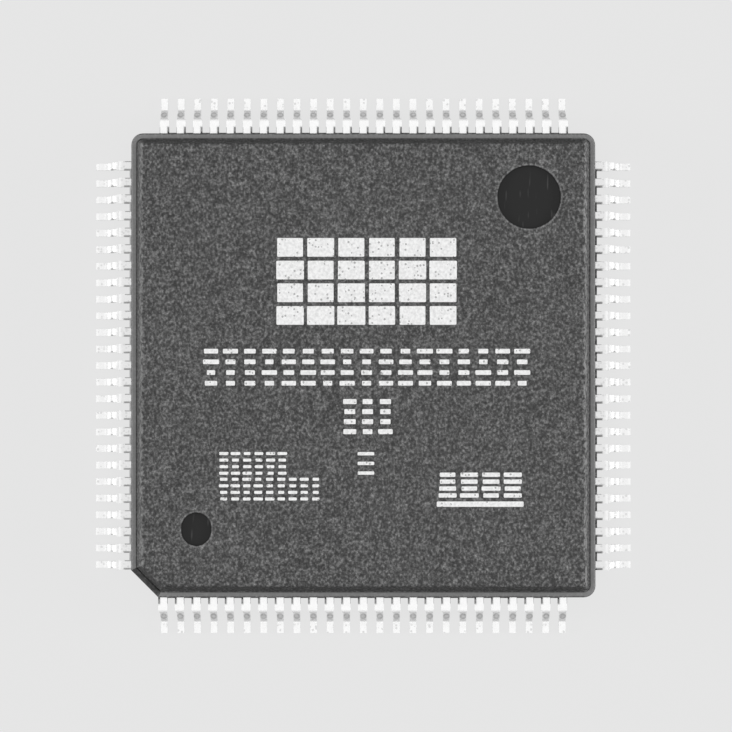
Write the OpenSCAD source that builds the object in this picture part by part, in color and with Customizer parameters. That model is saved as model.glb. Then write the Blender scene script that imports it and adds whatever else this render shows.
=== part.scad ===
// Low-profile quad flat pack: a square moulded chip with gull-wing leads on all four sides.
// Millimetres. The seating plane is z = 0, +Z is up, and the origin is under the middle of the body.
// Pin 1 is the first lead of the south side (-Y), next to the chamfered corner. Pins run anticlockwise.

/* [Moulded body] */
// Side of the square body, measured at its ledge
body_side = 13.95; // [13.85:0.05:16]
// Thickness of the body, without the gap under it
body_height = 1.4; // [1.3:0.05:1.6]
// Gap between the seating plane and the underside
standoff = 0.1; // [0.05:0.01:0.15]
// Width of the level ledge around the foot of the upper half
ledge_width = 0.18; // [0.16:0.01:0.24]
// Resin between the top of the leads and the ledge
ledge_cover = 0.07; // [0.06:0.01:0.1]
// Radius of the ledge's outer edge
ledge_radius = 0.05; // [0.02:0.01:0.08]
// Width of the groove between the ledge and the upper half
groove_width = 0.04; // [0.02:0.01:0.06]
// Depth of that groove
groove_depth = 0.04; // [0.02:0.01:0.05]
// Draft angle of the side walls
draft_angle = 15; // [10:1:16]
// Radius of the edge around the top and bottom faces
edge_radius = 0.07; // [0.03:0.01:0.1]
// Radius of the three rounded corners at the ledge
corner_radius = 0.35; // [0.3:0.05:0.6]
// Leg of the chamfer at the pin 1 corner
corner_chamfer = 0.82; // [0.6:0.02:0.82]

/* [Marks in the mould] */
// Width of the recess that marks pin 1
pin1_mark_d = 0.9; // [0.6:0.02:1.2]
// Pin 1 mark, from the middle along -X
pin1_mark_x = 5; // [4.6:0.05:5.4]
// Pin 1 mark, from the middle along -Y
pin1_mark_y = 4.92; // [4.6:0.02:5.4]
// How much longer than wide the pin 1 mark is
pin1_mark_stretch = 0.1; // [0.02:0.01:0.2]
// Diameter of the ejector pin marks
ejector_mark_d = 1.9; // [1.2:0.05:2.2]
// Ejector mark on the top face, from the middle along X
ejector_mark_x = 4.97; // [4:0.01:5]
// Ejector mark on the top face, from the middle along Y
ejector_mark_y = 5.03; // [4:0.01:5.2]
// Depth of the marks on the top face and of those underneath
mark_depth = 0.08; // [0.04:0.01:0.12]

/* [Leads outside the body] */
// Leads on each side, a multiple of the five banks
leads_per_side = 25; // [10:5:25]
// Distance from the side of the body to the middle of the first lead
first_lead = 0.975; // [0.975:0.025:1.2]
// Width of a lead where it leaves the body
lead_width = 0.22; // [0.17:0.01:0.23]
// Width of the leg and the foot
foot_width = 0.2; // [0.17:0.01:0.22]
// Thickness of the lead frame
lead_thickness = 0.127; // [0.1:0.005:0.15]
// Distance from the side of the body to the tip of a foot
lead_reach = 1.09; // [1:0.01:1.4]
// Length of the flat foot that is soldered down
foot_length = 0.3; // [0.25:0.01:0.38]
// Inside radius of both bends
bend_radius = 0.1; // [0.08:0.01:0.12]
// Angle of the leg between the bends, from the horizontal
leg_angle = 76; // [70:1:84]
// Length of the resin flash along a lead, from the body to the trimmed dam bar
flash_length = 0.19; // [0.12:0.01:0.24]
// Length of the dam bar stub that the trimming leaves on a lead
stub_length = 0.22; // [0.1:0.01:0.24]
// Width over the dam bar stubs of one lead
stub_width = 0.28; // [0.26:0.01:0.29]
// How far the trimming punch sits off the leads' middles: south, east, north and west side
trim_offset = [0.02, 0.015, 0.02, 0]; // [0:0.005:0.02]
// Length of the resin web between the leads where the dam bar was punched out, on the same sides
web_length = [0.02, 0.05, 0.02, 0.05]; // [0.01:0.01:0.1]

/* [Lead frame inside the body] */
// Straight root of a lead, inwards from the side of the body
root_length = 0.4; // [0.3:0.02:0.6]
// Distance between the inner tips of neighbouring leads
tip_pitch = 0.25; // [0.22:0.005:0.26]
// Width of an inner tip
tip_width = 0.125; // [0.1:0.005:0.14]
// Gap between the die paddle and the inner tips
tip_gap = 0.4; // [0.3:0.05:0.6]
// Side of the square die paddle
paddle_side = 6.4; // [6.1:0.1:7]
// Distance that the paddle is pressed down below the leads
paddle_downset = 0.2; // [0.12:0.01:0.25]
// Width of the four tie bars that carry the paddle
tie_bar_width = 0.25; // [0.2:0.01:0.3]
// Length of the sloping step in a tie bar
tie_step_length = 0.4; // [0.3:0.05:0.6]

/* [Lead lock tape] */
// Width of the tape ring that keeps the inner leads in plane
tape_width = 0.6; // [0.4:0.05:0.8]
// Thickness of the tape
tape_thickness = 0.05; // [0.03:0.005:0.08]
// Distance from the inner tips to the tape
tape_setback = 1; // [0.6:0.05:1.2]

/* [Silicon die] */
// Side of the square die
die_side = 5.4; // [5:0.1:5.8]
// Thickness of the die
die_thickness = 0.28; // [0.2:0.01:0.32]
// Thickness of the silver epoxy under the die
attach_thickness = 0.03; // [0.02:0.005:0.05]
// Width of the epoxy that shows around the die
attach_margin = 0.1; // [0.05:0.01:0.15]

/* [Bond wires] */
// Thickness of a gold wire
wire_size = 0.03; // [0.025:0.005:0.05]
// Height of a wire's loop over the die
loop_height = 0.2; // [0.15:0.01:0.25]
// Radius of the bend at the top of the loop
loop_radius = 0.06; // [0.04:0.01:0.08]
// Distance between bond pads along the edge of the die
pad_pitch = 0.19; // [0.15:0.01:0.2]
// Distance from the edge of the die to the middle of the pads
pad_inset = 0.12; // [0.08:0.01:0.2]
// Diameter of the ball at a pad
ball_d = 0.07; // [0.06:0.01:0.09]
// Height of the ball at a pad
ball_height = 0.02; // [0.015:0.005:0.03]
// Distance from a lead's inner tip to the end of its wire
stitch_inset = 0.25; // [0.2:0.01:0.35]
// Length of wire that is pressed flat on the lead
stitch_length = 0.08; // [0.05:0.01:0.1]

/* [Hidden] */
$fn = 48;
BANKS_PER_SIDE = 5;
SIDES = 4;
ARC_STEPS = 6;          // flats in each moulded corner and edge
BEND_STEPS = 8;         // flats in each bend of a lead
SHARPEST_RADIUS = 0.02; // the least radius that a moulded corner can have
PAST = 0.1;             // how far a cutting shape runs past what it cuts

half_body = body_side / 2;
lead_pitch = (body_side - 2 * first_lead) / (leads_per_side - 1);
body_top = standoff + body_height;
frame_mid = standoff + body_height / 2;
frame_top = frame_mid + lead_thickness / 2;
frame_bottom = frame_mid - lead_thickness / 2;
ledge_top = frame_top + ledge_cover;

outer_bend = bend_radius + lead_thickness;
leg_drop = frame_top - lead_thickness - (outer_bend + bend_radius) * (1 - cos(leg_angle));
lead_end = half_body + lead_reach;
foot_start = lead_end - foot_length;
leg_run = (outer_bend + bend_radius) * sin(leg_angle) + leg_drop / tan(leg_angle);
shoulder_end = foot_start - leg_run;

tip_line = paddle_side / 2 + tip_gap;
knee_line = half_body - root_length;
paddle_top = frame_top - paddle_downset;
attach_top = paddle_top + attach_thickness;
die_top = attach_top + die_thickness;
pad_line = die_side / 2 - pad_inset;
stitch_line = tip_line + stitch_inset;

leads_per_bank = leads_per_side / BANKS_PER_SIDE;
function two_digits(n) = str(n < 10 ? "0" : "", n);
function lead_bank_name(bank) = str("lead_bank_", two_digits(bank));
function wire_bank_name(bank) = str("wire_bank_", two_digits(bank));
BANKS = [1 : SIDES * BANKS_PER_SIDE];

// ---- Places along a side. Each side is drawn pointing along +X and then turned. ----

// Distance of lead k from the middle of its side, for a given spacing
function along(k, spacing) = (k - (leads_per_side + 1) / 2) * spacing;

// Where the middle line of lead k is at a distance v from the middle of the body
function finger_at(k, v) =
    let (share = (v - tip_line) / (knee_line - tip_line))
    along(k, tip_pitch) * (1 - share) + along(k, lead_pitch) * share;

// Side 0 is south, then east, north and west
module on_side(side) {
    $side = side;
    rotate(90 * (side - 1)) children();
}

// The leads of one bank: its side, and its first lead on that side
function bank_side(bank) = floor((bank - 1) / BANKS_PER_SIDE);
function bank_first(bank) = ((bank - 1) % BANKS_PER_SIDE) * leads_per_bank + 1;

module each_in_bank(bank) {
    on_side(bank_side(bank))
        for ($lead = [bank_first(bank) : bank_first(bank) + leads_per_bank - 1])
            children();
}

// ---- Moulded body ----

function arc(centre, radius, from, to, steps = ARC_STEPS) =
    [for (i = [0 : steps])
        let (a = from + (to - from) * i / steps)
        centre + radius * [cos(a), sin(a)]];

// Outline of the body, moved inwards: a square with three round corners and one chamfer
function outline(inset) =
    let (
        half = half_body - inset,
        r = max(corner_radius - inset, SHARPEST_RADIUS),
        chamfer = corner_chamfer - inset * (2 - sqrt(2)),
        c = half - r
    )
    concat(
        [[chamfer - half, -half]],
        arc([c, -c], r, -90, 0),
        arc([c, c], r, 0, 90),
        arc([-c, c], r, 90, 180),
        [[-half, chamfer - half]]
    );

// A solid through level outlines, given as [height, inset], from the bottom to the top
module loft(levels) {
    count = len(outline(0));
    last = len(levels) - 1;
    polyhedron(
        points = [for (level = levels) for (p = outline(level[1])) [p[0], p[1], level[0]]],
        faces = concat(
            [[for (i = [0 : count - 1]) i]],
            [for (n = [0 : last - 1]) for (i = [0 : count - 1])
                [n * count + i, (n + 1) * count + i,
                 (n + 1) * count + (i + 1) % count, n * count + (i + 1) % count]],
            [[for (i = [count - 1 : -1 : 0]) last * count + i]]
        )
    );
}

// Levels of a drafted wall that ends in a rounded edge; up is 1 for the upper half, -1 for the lower
function drafted_wall(from, to, inset, up) =
    let (
        wall = abs(to - from) - edge_radius * (1 - sin(draft_angle)),
        in = inset + wall * tan(draft_angle)
    )
    [for (i = [0 : ARC_STEPS])
        let (a = draft_angle + (90 - draft_angle) * i / ARC_STEPS)
        [to - up * edge_radius * (1 - sin(a)),
         in + edge_radius * (cos(draft_angle) - cos(a))]];

// The ledge: a rounded outer edge, a level stretch and the groove at the foot of the upper half
ledge = concat(
    [for (i = [0 : ARC_STEPS])
        let (a = 90 * i / ARC_STEPS)
        [ledge_top - ledge_radius * (1 - sin(a)), ledge_radius * (1 - cos(a))]],
    [[ledge_top, ledge_width - groove_width]]
);

module body_shell() {
    lower = drafted_wall(frame_bottom, standoff, 0, -1);
    upper = drafted_wall(ledge_top - groove_depth, body_top, ledge_width, 1);
    loft(concat(
        [for (i = [ARC_STEPS : -1 : 0]) lower[i]],
        [[frame_bottom, 0]],
        ledge,
        [[ledge_top - groove_depth, ledge_width]],
        upper
    ));
}

// Slivers of resin that stay along a lead, up to the trimmed dam bar
module lead_flash() {
    for (side = [0 : SIDES - 1]) on_side(side)
        for (k = [1 : leads_per_side])
            translate([knee_line, along(k, lead_pitch) - stub_width / 2 - trim_offset[side], frame_bottom])
                cube([root_length + flash_length, stub_width, lead_thickness]);
}

// What is left of the resin that ran out between the leads, as far as the dam bar
module web_flash() {
    row = (leads_per_side - 1) * lead_pitch;
    for (side = [0 : SIDES - 1]) on_side(side)
        translate([knee_line, -row / 2, frame_bottom])
            cube([root_length + web_length[side], row, lead_thickness]);
}

module mould_marks() {
    translate([-pin1_mark_x, -pin1_mark_y, body_top - mark_depth]) {
        for (end = [-1, 1]) translate([0, end * pin1_mark_stretch / 2, 0])
            cylinder(d = pin1_mark_d, h = mark_depth + PAST);
        translate([-pin1_mark_d / 2, -pin1_mark_stretch / 2, 0])
            cube([pin1_mark_d, pin1_mark_stretch, mark_depth + PAST]);
    }
    translate([ejector_mark_x, ejector_mark_y, body_top - mark_depth])
        cylinder(d = ejector_mark_d, h = mark_depth + PAST);
    for (turn = [0, 180]) rotate(turn)
        translate([ejector_mark_x, ejector_mark_y, standoff - PAST])
            cylinder(d = ejector_mark_d, h = mark_depth + PAST);
}

// Everything that the resin was poured around
module embedded_pieces() {
    for (bank = BANKS) {
        each_in_bank(bank) flat_lead();
        each_in_bank(bank) bond_wire();
    }
    die_paddle();
    die_attach();
    silicon_die();
    lead_lock_tape();
}

module moulded_body() {
    color([0.22, 0.22, 0.22]) difference() {
        union() {
            body_shell();
            lead_flash();
            web_flash();
        }
        mould_marks();
        embedded_pieces();
    }
}

// ---- Leads ----

// One edge of a lead as [distance from the middle of the body, distance from the lead's middle line].
// The dam bar stub stands further out on one edge, by the offset of the punch.
function lead_edge(offset) =
    let (stub = stub_width / 2 + offset, foot = foot_width / 2)
    [
        [knee_line, lead_width / 2],
        [half_body + flash_length, lead_width / 2],
        [half_body + flash_length, stub],
        [half_body + flash_length + stub_length, stub],
        [half_body + flash_length + stub_length + stub - foot, foot],
        [lead_end, foot]
    ];

// Outline of lead k seen from above, from its inner tip to the end of its foot
module lead_outline(k) {
    root = along(k, lead_pitch);
    tip = along(k, tip_pitch);
    right = lead_edge(trim_offset[$side]);
    left = lead_edge(-trim_offset[$side]);
    polygon(concat(
        [[tip_line, tip - tip_width / 2]],
        [for (p = right) [p[0], root - p[1]]],
        [for (i = [len(left) - 1 : -1 : 0]) [left[i][0], root + left[i][1]]],
        [[tip_line, tip + tip_width / 2]]
    ));
}

// The part of lead $lead that stays flat, inside the body and just outside it
module flat_lead() {
    translate([0, 0, frame_bottom])
        linear_extrude(lead_thickness) intersection() {
            lead_outline($lead);
            translate([0, -half_body]) square([shoulder_end, body_side]);
        }
}

// Section through the formed sheet: shoulder, bend, leg, bend and foot
module formed_section() {
    knee = [shoulder_end, frame_bottom - bend_radius];
    heel = [foot_start, outer_bend];
    polygon(concat(
        [[tip_line, frame_bottom], [tip_line, frame_top]],
        arc(knee, outer_bend, 90, 90 - leg_angle, BEND_STEPS),
        arc(heel, bend_radius, 270 - leg_angle, 270, BEND_STEPS),
        [[lead_end, lead_thickness], [lead_end, 0]],
        arc(heel, outer_bend, 270, 270 - leg_angle, BEND_STEPS),
        arc(knee, bend_radius, 90 - leg_angle, 90, BEND_STEPS)
    ));
}

// The leads of one bank: their outlines cut from a sheet that is bent to the gull wing
module lead_bank(bank) {
    color([0.85, 0.85, 0.86]) each_in_bank(bank) intersection() {
        translate([0, 0, -PAST]) linear_extrude(frame_top + 2 * PAST) lead_outline($lead);
        rotate([90, 0, 0]) translate([0, 0, -half_body])
            linear_extrude(body_side) formed_section();
    }
}

// ---- Paddle, die and tape ----

// A strip of even thickness along a path of points; flat at both ends
function strip(path, thickness) =
    let (
        last = len(path) - 1,
        turn = [for (i = [0 : last])
            let (
                a = path[i] - path[max(i - 1, 0)],
                b = path[min(i + 1, last)] - path[i],
                u = (i == 0 ? b : a) / norm(i == 0 ? b : a),
                w = (i == last ? a : b) / norm(i == last ? a : b),
                n = [-(u[1] + w[1]), u[0] + w[0]]
            )
            n / (n * [-u[1], u[0]])]
    )
    concat(
        [for (i = [0 : last]) path[i] - turn[i] * thickness / 2],
        [for (i = [last : -1 : 0]) path[i] + turn[i] * thickness / 2]
    );

// One tie bar, out along the diagonal from under the die to past the corner of the body
module tie_bar() {
    step_start = paddle_side / sqrt(2);
    path = [
        [step_start - tie_bar_width, paddle_top - lead_thickness / 2],
        [step_start, paddle_top - lead_thickness / 2],
        [step_start + tie_step_length, frame_mid],
        [body_side, frame_mid]
    ];
    rotate([90, 0, 0]) translate([0, 0, -tie_bar_width / 2])
        linear_extrude(tie_bar_width) polygon(strip(path, lead_thickness));
}

// The paddle and its four tie bars are one stamping, trimmed level with the corners of the body
module die_paddle() {
    color([0.72, 0.45, 0.3]) intersection() {
        union() {
            translate([-paddle_side / 2, -paddle_side / 2, paddle_top - lead_thickness])
                cube([paddle_side, paddle_side, lead_thickness]);
            for (corner = [0 : SIDES - 1]) rotate(45 + 90 * corner) tie_bar();
        }
        translate([0, 0, frame_mid - body_height / 2])
            linear_extrude(body_height) polygon(outline(0));
    }
}

module square_plate(side, z, thickness) {
    translate([-side / 2, -side / 2, z]) cube([side, side, thickness]);
}

module die_attach() {
    color([0.6, 0.6, 0.58]) square_plate(die_side + 2 * attach_margin, paddle_top, attach_thickness);
}

module silicon_die() {
    color([0.35, 0.37, 0.45]) square_plate(die_side, attach_top, die_thickness);
}

module lead_lock_tape() {
    inner = 2 * (tip_line + tape_setback);
    color([0.75, 0.5, 0.15]) difference() {
        square_plate(inner + 2 * tape_width, frame_top, tape_thickness);
        square_plate(inner, frame_top - PAST, tape_thickness + 2 * PAST);
    }
}

// ---- Bond wires ----

// The wire of lead $lead: a ball on its pad, a riser, a bend, a long slope and a flat stitch
module bond_wire() {
    pad = [pad_line, along($lead, pad_pitch)];
    stitch = [stitch_line, finger_at($lead, stitch_line)];
    span = norm(stitch - pad);
    peak = die_top + loop_height - loop_radius;
    landing = [span - stitch_length, frame_top + wire_size / 2];
    slope = atan2(peak + loop_radius - landing[1], landing[0] - loop_radius);
    bend = [for (i = [0 : ARC_STEPS])
        let (a = 180 - (90 + slope) * i / ARC_STEPS)
        [loop_radius, peak] + loop_radius * [cos(a), sin(a)]];
    path = concat([[0, die_top + ball_height]], bend, [landing, [span, landing[1]]]);
    translate([pad[0], pad[1], 0]) rotate(atan2(stitch[1] - pad[1], stitch[0] - pad[0])) {
        rotate([90, 0, 0]) translate([0, 0, -wire_size / 2])
            linear_extrude(wire_size) polygon(strip(path, wire_size));
        translate([0, 0, die_top]) cylinder(d = ball_d, h = ball_height);
    }
}

module wire_bank(bank) {
    color([0.95, 0.75, 0.3]) each_in_bank(bank) bond_wire();
}

moulded_body();
die_paddle();
die_attach();
silicon_die();
lead_lock_tape();
for (bank = BANKS) {
    lead_bank(bank);
    wire_bank(bank);
}
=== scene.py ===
"""Dresses a quad flat pack chip: moulded body, tinned leads, inner pieces and printed marks."""

import math
from typing import NamedTuple

import bmesh
import bpy
from bpy.props import FloatProperty, FloatVectorProperty, IntProperty, PointerProperty
from bpy.types import Operator, Panel, PropertyGroup
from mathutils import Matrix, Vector


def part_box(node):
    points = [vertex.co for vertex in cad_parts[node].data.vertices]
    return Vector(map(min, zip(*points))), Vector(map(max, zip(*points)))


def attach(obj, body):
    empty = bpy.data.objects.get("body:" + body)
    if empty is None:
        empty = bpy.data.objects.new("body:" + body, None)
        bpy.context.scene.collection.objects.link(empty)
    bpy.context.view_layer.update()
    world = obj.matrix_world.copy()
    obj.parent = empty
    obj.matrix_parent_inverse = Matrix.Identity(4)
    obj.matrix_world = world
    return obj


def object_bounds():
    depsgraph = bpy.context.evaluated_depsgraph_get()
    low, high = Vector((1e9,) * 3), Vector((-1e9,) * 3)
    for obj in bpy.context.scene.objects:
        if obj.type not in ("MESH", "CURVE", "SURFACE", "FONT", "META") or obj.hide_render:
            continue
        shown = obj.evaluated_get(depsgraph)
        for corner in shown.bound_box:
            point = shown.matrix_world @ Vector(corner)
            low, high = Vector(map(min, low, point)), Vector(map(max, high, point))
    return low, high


bl_info = {
    "name": "Quad Flat Pack Chip",
    "version": (1, 0, 0),
    "blender": (4, 5, 0),
    "location": "3D View > Sidebar > Chip",
    "description": "Finishes, printed marks and stage for a quad flat pack chip",
    "category": "Object",
}

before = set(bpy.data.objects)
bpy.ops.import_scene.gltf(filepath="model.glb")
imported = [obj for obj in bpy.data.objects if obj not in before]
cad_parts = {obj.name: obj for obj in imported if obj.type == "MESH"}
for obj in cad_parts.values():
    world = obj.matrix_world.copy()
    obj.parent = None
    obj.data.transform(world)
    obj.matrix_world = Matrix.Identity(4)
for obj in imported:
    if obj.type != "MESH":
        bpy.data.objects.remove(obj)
CAD_LOW, CAD_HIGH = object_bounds()

MM = 0.001
ROOT = "root"

# The body: half of its side, its chamfered corner, its top and the top of the ledge round its middle
BODY_HALF = 6.975 * MM
CHAMFER = 0.82 * MM
TOP_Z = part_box("moulded_body")[1].z
LEDGE_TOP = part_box("lead_bank_01")[1].z + 0.07 * MM

# The leads, measured outwards from the middle of the chip: the tips, and the middle of the bent legs
LEAD_PITCH = 0.5 * MM
TIP = CAD_HIGH.x
LEG_MIDDLE = TIP - 0.52 * MM

# The two bends of a lead, outwards from the middle of its leg, and half the length of each
INNER_BEND = -0.09 * MM
INNER_BEND_HALF = 0.11 * MM
OUTER_BEND = 0.13 * MM
OUTER_BEND_HALF = 0.08 * MM

# The painted highlight band's middle, from the same place, and half its length: at east and west, then
# elsewhere
LEG_HIGHLIGHT = 0.05 * MM
LEG_HIGHLIGHT_HALF = (0.1 * MM, 0.15 * MM)

# Soft ovals on a lead, half the width across it and half the length along it: painted shade on the front and
# back legs and its paler middle, a painted bend shadow, and painted shade in the side leads' feet
LEG_SHADE = (0.105 * MM, 0.1 * MM)
LEG_SHADE_HUB = (0.05 * MM, 0.05 * MM)
BEND_SHADOW = (0.035 * MM, 0.05 * MM)
FOOT_SHADE = (0.2 * MM, 0.1 * MM)

# Where two of them lie: the painted bend shadow, across the lead and outwards from the middle of its leg, and
# the painted shade in the feet
BEND_SHADOW_PLACE = (-0.1 * MM, 0.02 * MM)
FOOT_SHADE_MIDDLE = TIP - 0.16 * MM

# Where flecks start and are full along the foot, and where the residue and painted shadow start and are full
# across the neck
FLECK_FADE = (TIP - 0.34 * MM, TIP - 0.2 * MM)
RESIDUE_AND_SHADOW_FADE = (0.075 * MM, 0.1 * MM)

# Inwards from the body's side: the start and the end of the pale band on the top face, partly wear and partly
# painted highlight, and of the painted shade on the ledge's rim
WORN_AND_HIGHLIT_BAND = (0.38 * MM, 0.26 * MM)
OUTER_RIM_SHADE = (0.055 * MM, 0.03 * MM)

# Outwards from the body's side: where the resin webs end, where the residue and painted shadow on a lead's
# neck end, and where the painted shade on the neck has faded out and where it is full
WEB_END = 0.055 * MM
RESIDUE_AND_SHADOW_END = 0.22 * MM
NECK_SHADE_FADE = (0.37 * MM, 0.25 * MM)

# How far in from the chamfer its painted shade reaches, and how much paler the east band is than the west,
# from wear and painted highlight
CHAMFER_EDGE = 0.33 * MM
EAST_WEAR_AND_HIGHLIGHT = 1.6

# The grain's value from which the filler shows, and how steeply it brightens above it
FILLER_START = 0.55
FILLER_POWER = 2.4


class RoundMark(NamedTuple):
    """A round mark sunk in the top face, in millimetres from the middle of the chip."""

    x: float
    y: float
    radius: float
    stretch: float = 0.0  # how much longer than wide it is, along Y


PIN1_MARK = RoundMark(-5.0, -4.92, 0.45, 0.1)
EJECTOR_MARK = RoundMark(4.97, 5.03, 0.95)
MARK_DEPTH = 0.08 * MM


class MarkBlock(NamedTuple):
    """A printed block of rows of dashes, in millimetres from the middle of the chip."""

    middle: tuple
    size: tuple
    columns: int
    rows: int
    stroke: float  # height of a dash
    gap: float = 0.16  # blank share of a column's width
    shortest: float = 0.6  # shortest dash, as a share of the longest
    seed: int = 0


MARK_BLOCKS = {
    "emblem": MarkBlock((0.1, 2.5), (5.5, 2.6), 6, 4, stroke=0.56, gap=0.08, shortest=0.9, seed=3),
    "long_line": MarkBlock((0.1, -0.07), (9.9, 1.1), 17, 4, stroke=0.14, shortest=0.5, seed=8),
    "short_line": MarkBlock((0.13, -1.55), (1.6, 1.05), 3, 4, stroke=0.15, seed=5),
    "small_line_upper": MarkBlock((-3.3, -2.95), (2.1, 0.68), 6, 4, stroke=0.09, seed=2),
    "single_sign": MarkBlock((0.08, -2.95), (0.5, 0.68), 1, 3, stroke=0.1, gap=0.0, shortest=1.0, seed=4),
    "small_line_lower": MarkBlock((-2.8, -3.72), (3.1, 0.68), 9, 4, stroke=0.09, seed=7),
    "side_word": MarkBlock((3.5, -3.6), (2.6, 0.75), 4, 4, stroke=0.13, gap=0.12, shortest=0.8, seed=6),
    "side_word_bar": MarkBlock((3.5, -4.17), (2.6, 0.16), 1, 1, stroke=0.16, gap=0.0, shortest=1.0, seed=1),
}


# ---------------------------------------------------------------------------
# Properties


def colour(name, description, default):
    """A colour property."""
    return FloatVectorProperty(
        name=name, description=description, default=default, size=3, subtype="COLOR", min=0.0, max=1.0
    )


def length(name, description, default):
    """A property in metres."""
    return FloatProperty(
        name=name, description=description, default=default,
        unit="LENGTH", subtype="DISTANCE", precision=6, min=0.0,
    )


def fraction(name, description, default):
    """A property from 0 to 1."""
    return FloatProperty(
        name=name, description=description, default=default, subtype="FACTOR", min=0.0, max=1.0
    )


def watts(name, description, default):
    """A lamp's power."""
    return FloatProperty(name=name, description=description, default=default, min=0.0)


def angle(name, description, degrees):
    """An angle, with its default given in degrees."""
    return FloatProperty(
        name=name, description=description, default=math.radians(degrees), subtype="ANGLE", unit="ROTATION"
    )


class MouldFinish(PropertyGroup):
    """The moulded body's colours and textures."""

    dark: colour("Resin", "Colour of the resin between the grains", (0.036, 0.036, 0.036))
    light: colour("Filler", "Colour of the filler grains", (0.38, 0.38, 0.38))
    # Smooth resin is also the colour of the painted shade on the chamfer and the front and back walls
    smooth: colour("Smooth resin", "Colour inside the polished marks", (0.012, 0.012, 0.012))
    # Flash is also the colour of the painted highlights on the east and west edges and round the sunk marks
    flash_and_highlight: colour("Flash", "Colour of the resin along the ledge and the worn edges", (0.28, 0.28, 0.28))
    # Thin flash is also the colour of the painted light beside the leads
    thin: colour("Thin flash", "Colour of the thinnest slivers of resin beside the leads", (0.5, 0.5, 0.5))
    grain: length("Grain", "Size of the eroded texture's grains", 0.07 * MM)
    relief: length("Relief", "Depth of the eroded texture", 0.008 * MM)
    # The rim's pallor is a painted edge highlight; its lip is a bump
    rim: length("Rim", "Width of the worn rim around the round marks", 0.05 * MM)
    ledge_wear: fraction("Ledge wear", "How pale the ledge is", 0.75)
    # The pale band along the east and west edges is partly wear, partly painted highlight
    edge_wear_and_highlight: fraction("Edge wear", "How pale the worn band along the top face's edge is", 0.55)
    # Painted shade: how much of the pallor the chamfer and the ledge's front and back rim lose
    chamfer_shade_cover: fraction("Chamfer cover", "How much of the wear is missing on the chamfer", 0.75)
    rim_shade_cover: fraction("Rim cover", "How much of the wear is missing along the ledge's rim", 0.6)
    # Painted light: the slivers above the side leads and on the west side are paler
    upper_strips_painted_light: fraction("Upper slivers", "How thin the slivers above the side leads are", 0.9)
    lower_strips: fraction("Other slivers", "How thin the other slivers of resin are", 0.4)
    west_strips_painted_light: fraction("West slivers", "How thin the slivers on the west side are", 0.7)
    chamfer_shade: fraction("Chamfer shade", "How dark the chamfered corner is", 0.5)
    wall_shade: fraction("Wall shade", "How dark the front and back walls are", 0.35)
    scratches: fraction("Scratches", "How pale the scratches in the round marks are", 0.1)
    roughness: fraction("Roughness", "Roughness of the eroded surface", 0.85)
    mark_roughness: fraction("Mark roughness", "Roughness of the polished marks", 0.5)


class LeadFinish(PropertyGroup):
    """The tin plating's colours and wear, with its painted highlight and painted shade."""

    tin: colour("Tin", "Colour of the tin plating", (0.56, 0.56, 0.56))
    # Painted highlight: the colour of the paler band across the legs
    bright: colour("Bright tin", "Colour of the tin where the forming tool burnished it", (0.8, 0.8, 0.8))
    # Also the colour of the painted shade on the legs, the bends, the feet and the necks
    dull: colour("Dull tin", "Colour of the tin where it was bent or rubbed", (0.4, 0.4, 0.4))
    # Partly resin residue, partly painted shadow on one side of each neck
    residue_and_shadow: colour("Residue", "Colour of the resin left on the sides of the necks", (0.11, 0.11, 0.11))
    flecks: fraction("Flecks", "How dull the flecks on the feet are", 0.85)
    # Painted shade in the middle of the side leads' feet
    foot_shade: fraction("Hollow", "How dull the hollow in the side leads' feet is", 0.25)
    # Painted shade on the side leads' necks
    neck_shade: fraction("Stain", "How dull the necks of the side leads are", 0.55)
    # Both partly resin residue, partly painted shadow
    side_residue_and_shadow: fraction("Side residue", "How much resin is left on the necks of the side leads", 0.55)
    end_residue_and_shadow: fraction("End residue", "How much resin is left on the necks of the other leads", 0.25)
    roughness: fraction("Roughness", "Roughness of the plating", 0.45)
    bend_roughness: fraction("Bend roughness", "Roughness of the plating on the side leads' bends", 0.7)


class InsideFinish(PropertyGroup):
    """Colours of the pieces sealed in the body."""

    copper: colour("Copper alloy", "Colour of the die paddle", (0.70, 0.38, 0.24))
    epoxy: colour("Silver epoxy", "Colour of the die attach", (0.55, 0.55, 0.52))
    silicon: colour("Silicon", "Colour of the die", (0.16, 0.18, 0.25))
    tape: colour("Tape", "Colour of the lead lock tape", (0.62, 0.30, 0.05))
    gold: colour("Gold", "Colour of the bond wires", (0.95, 0.66, 0.22))


class MarkingSettings(PropertyGroup):
    """The printed marks' ink."""

    ink: colour("Ink", "Colour of the printed marks", (0.94, 0.94, 0.94))
    bare: colour("Bare specks", "Colour of the body that shows through the ink", (0.16, 0.16, 0.16))
    thickness: length("Thickness", "Thickness of the ink", 0.006 * MM)
    sunk: fraction("Sunk", "Share of the ink's thickness that lies in the rough face", 0.2)
    corner: length("Corner", "Radius of a dash's corners", 0.03 * MM)
    corner_steps: IntProperty(
        name="Corner steps", description="Points on a dash's corner", default=3, min=1, max=8
    )


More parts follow.
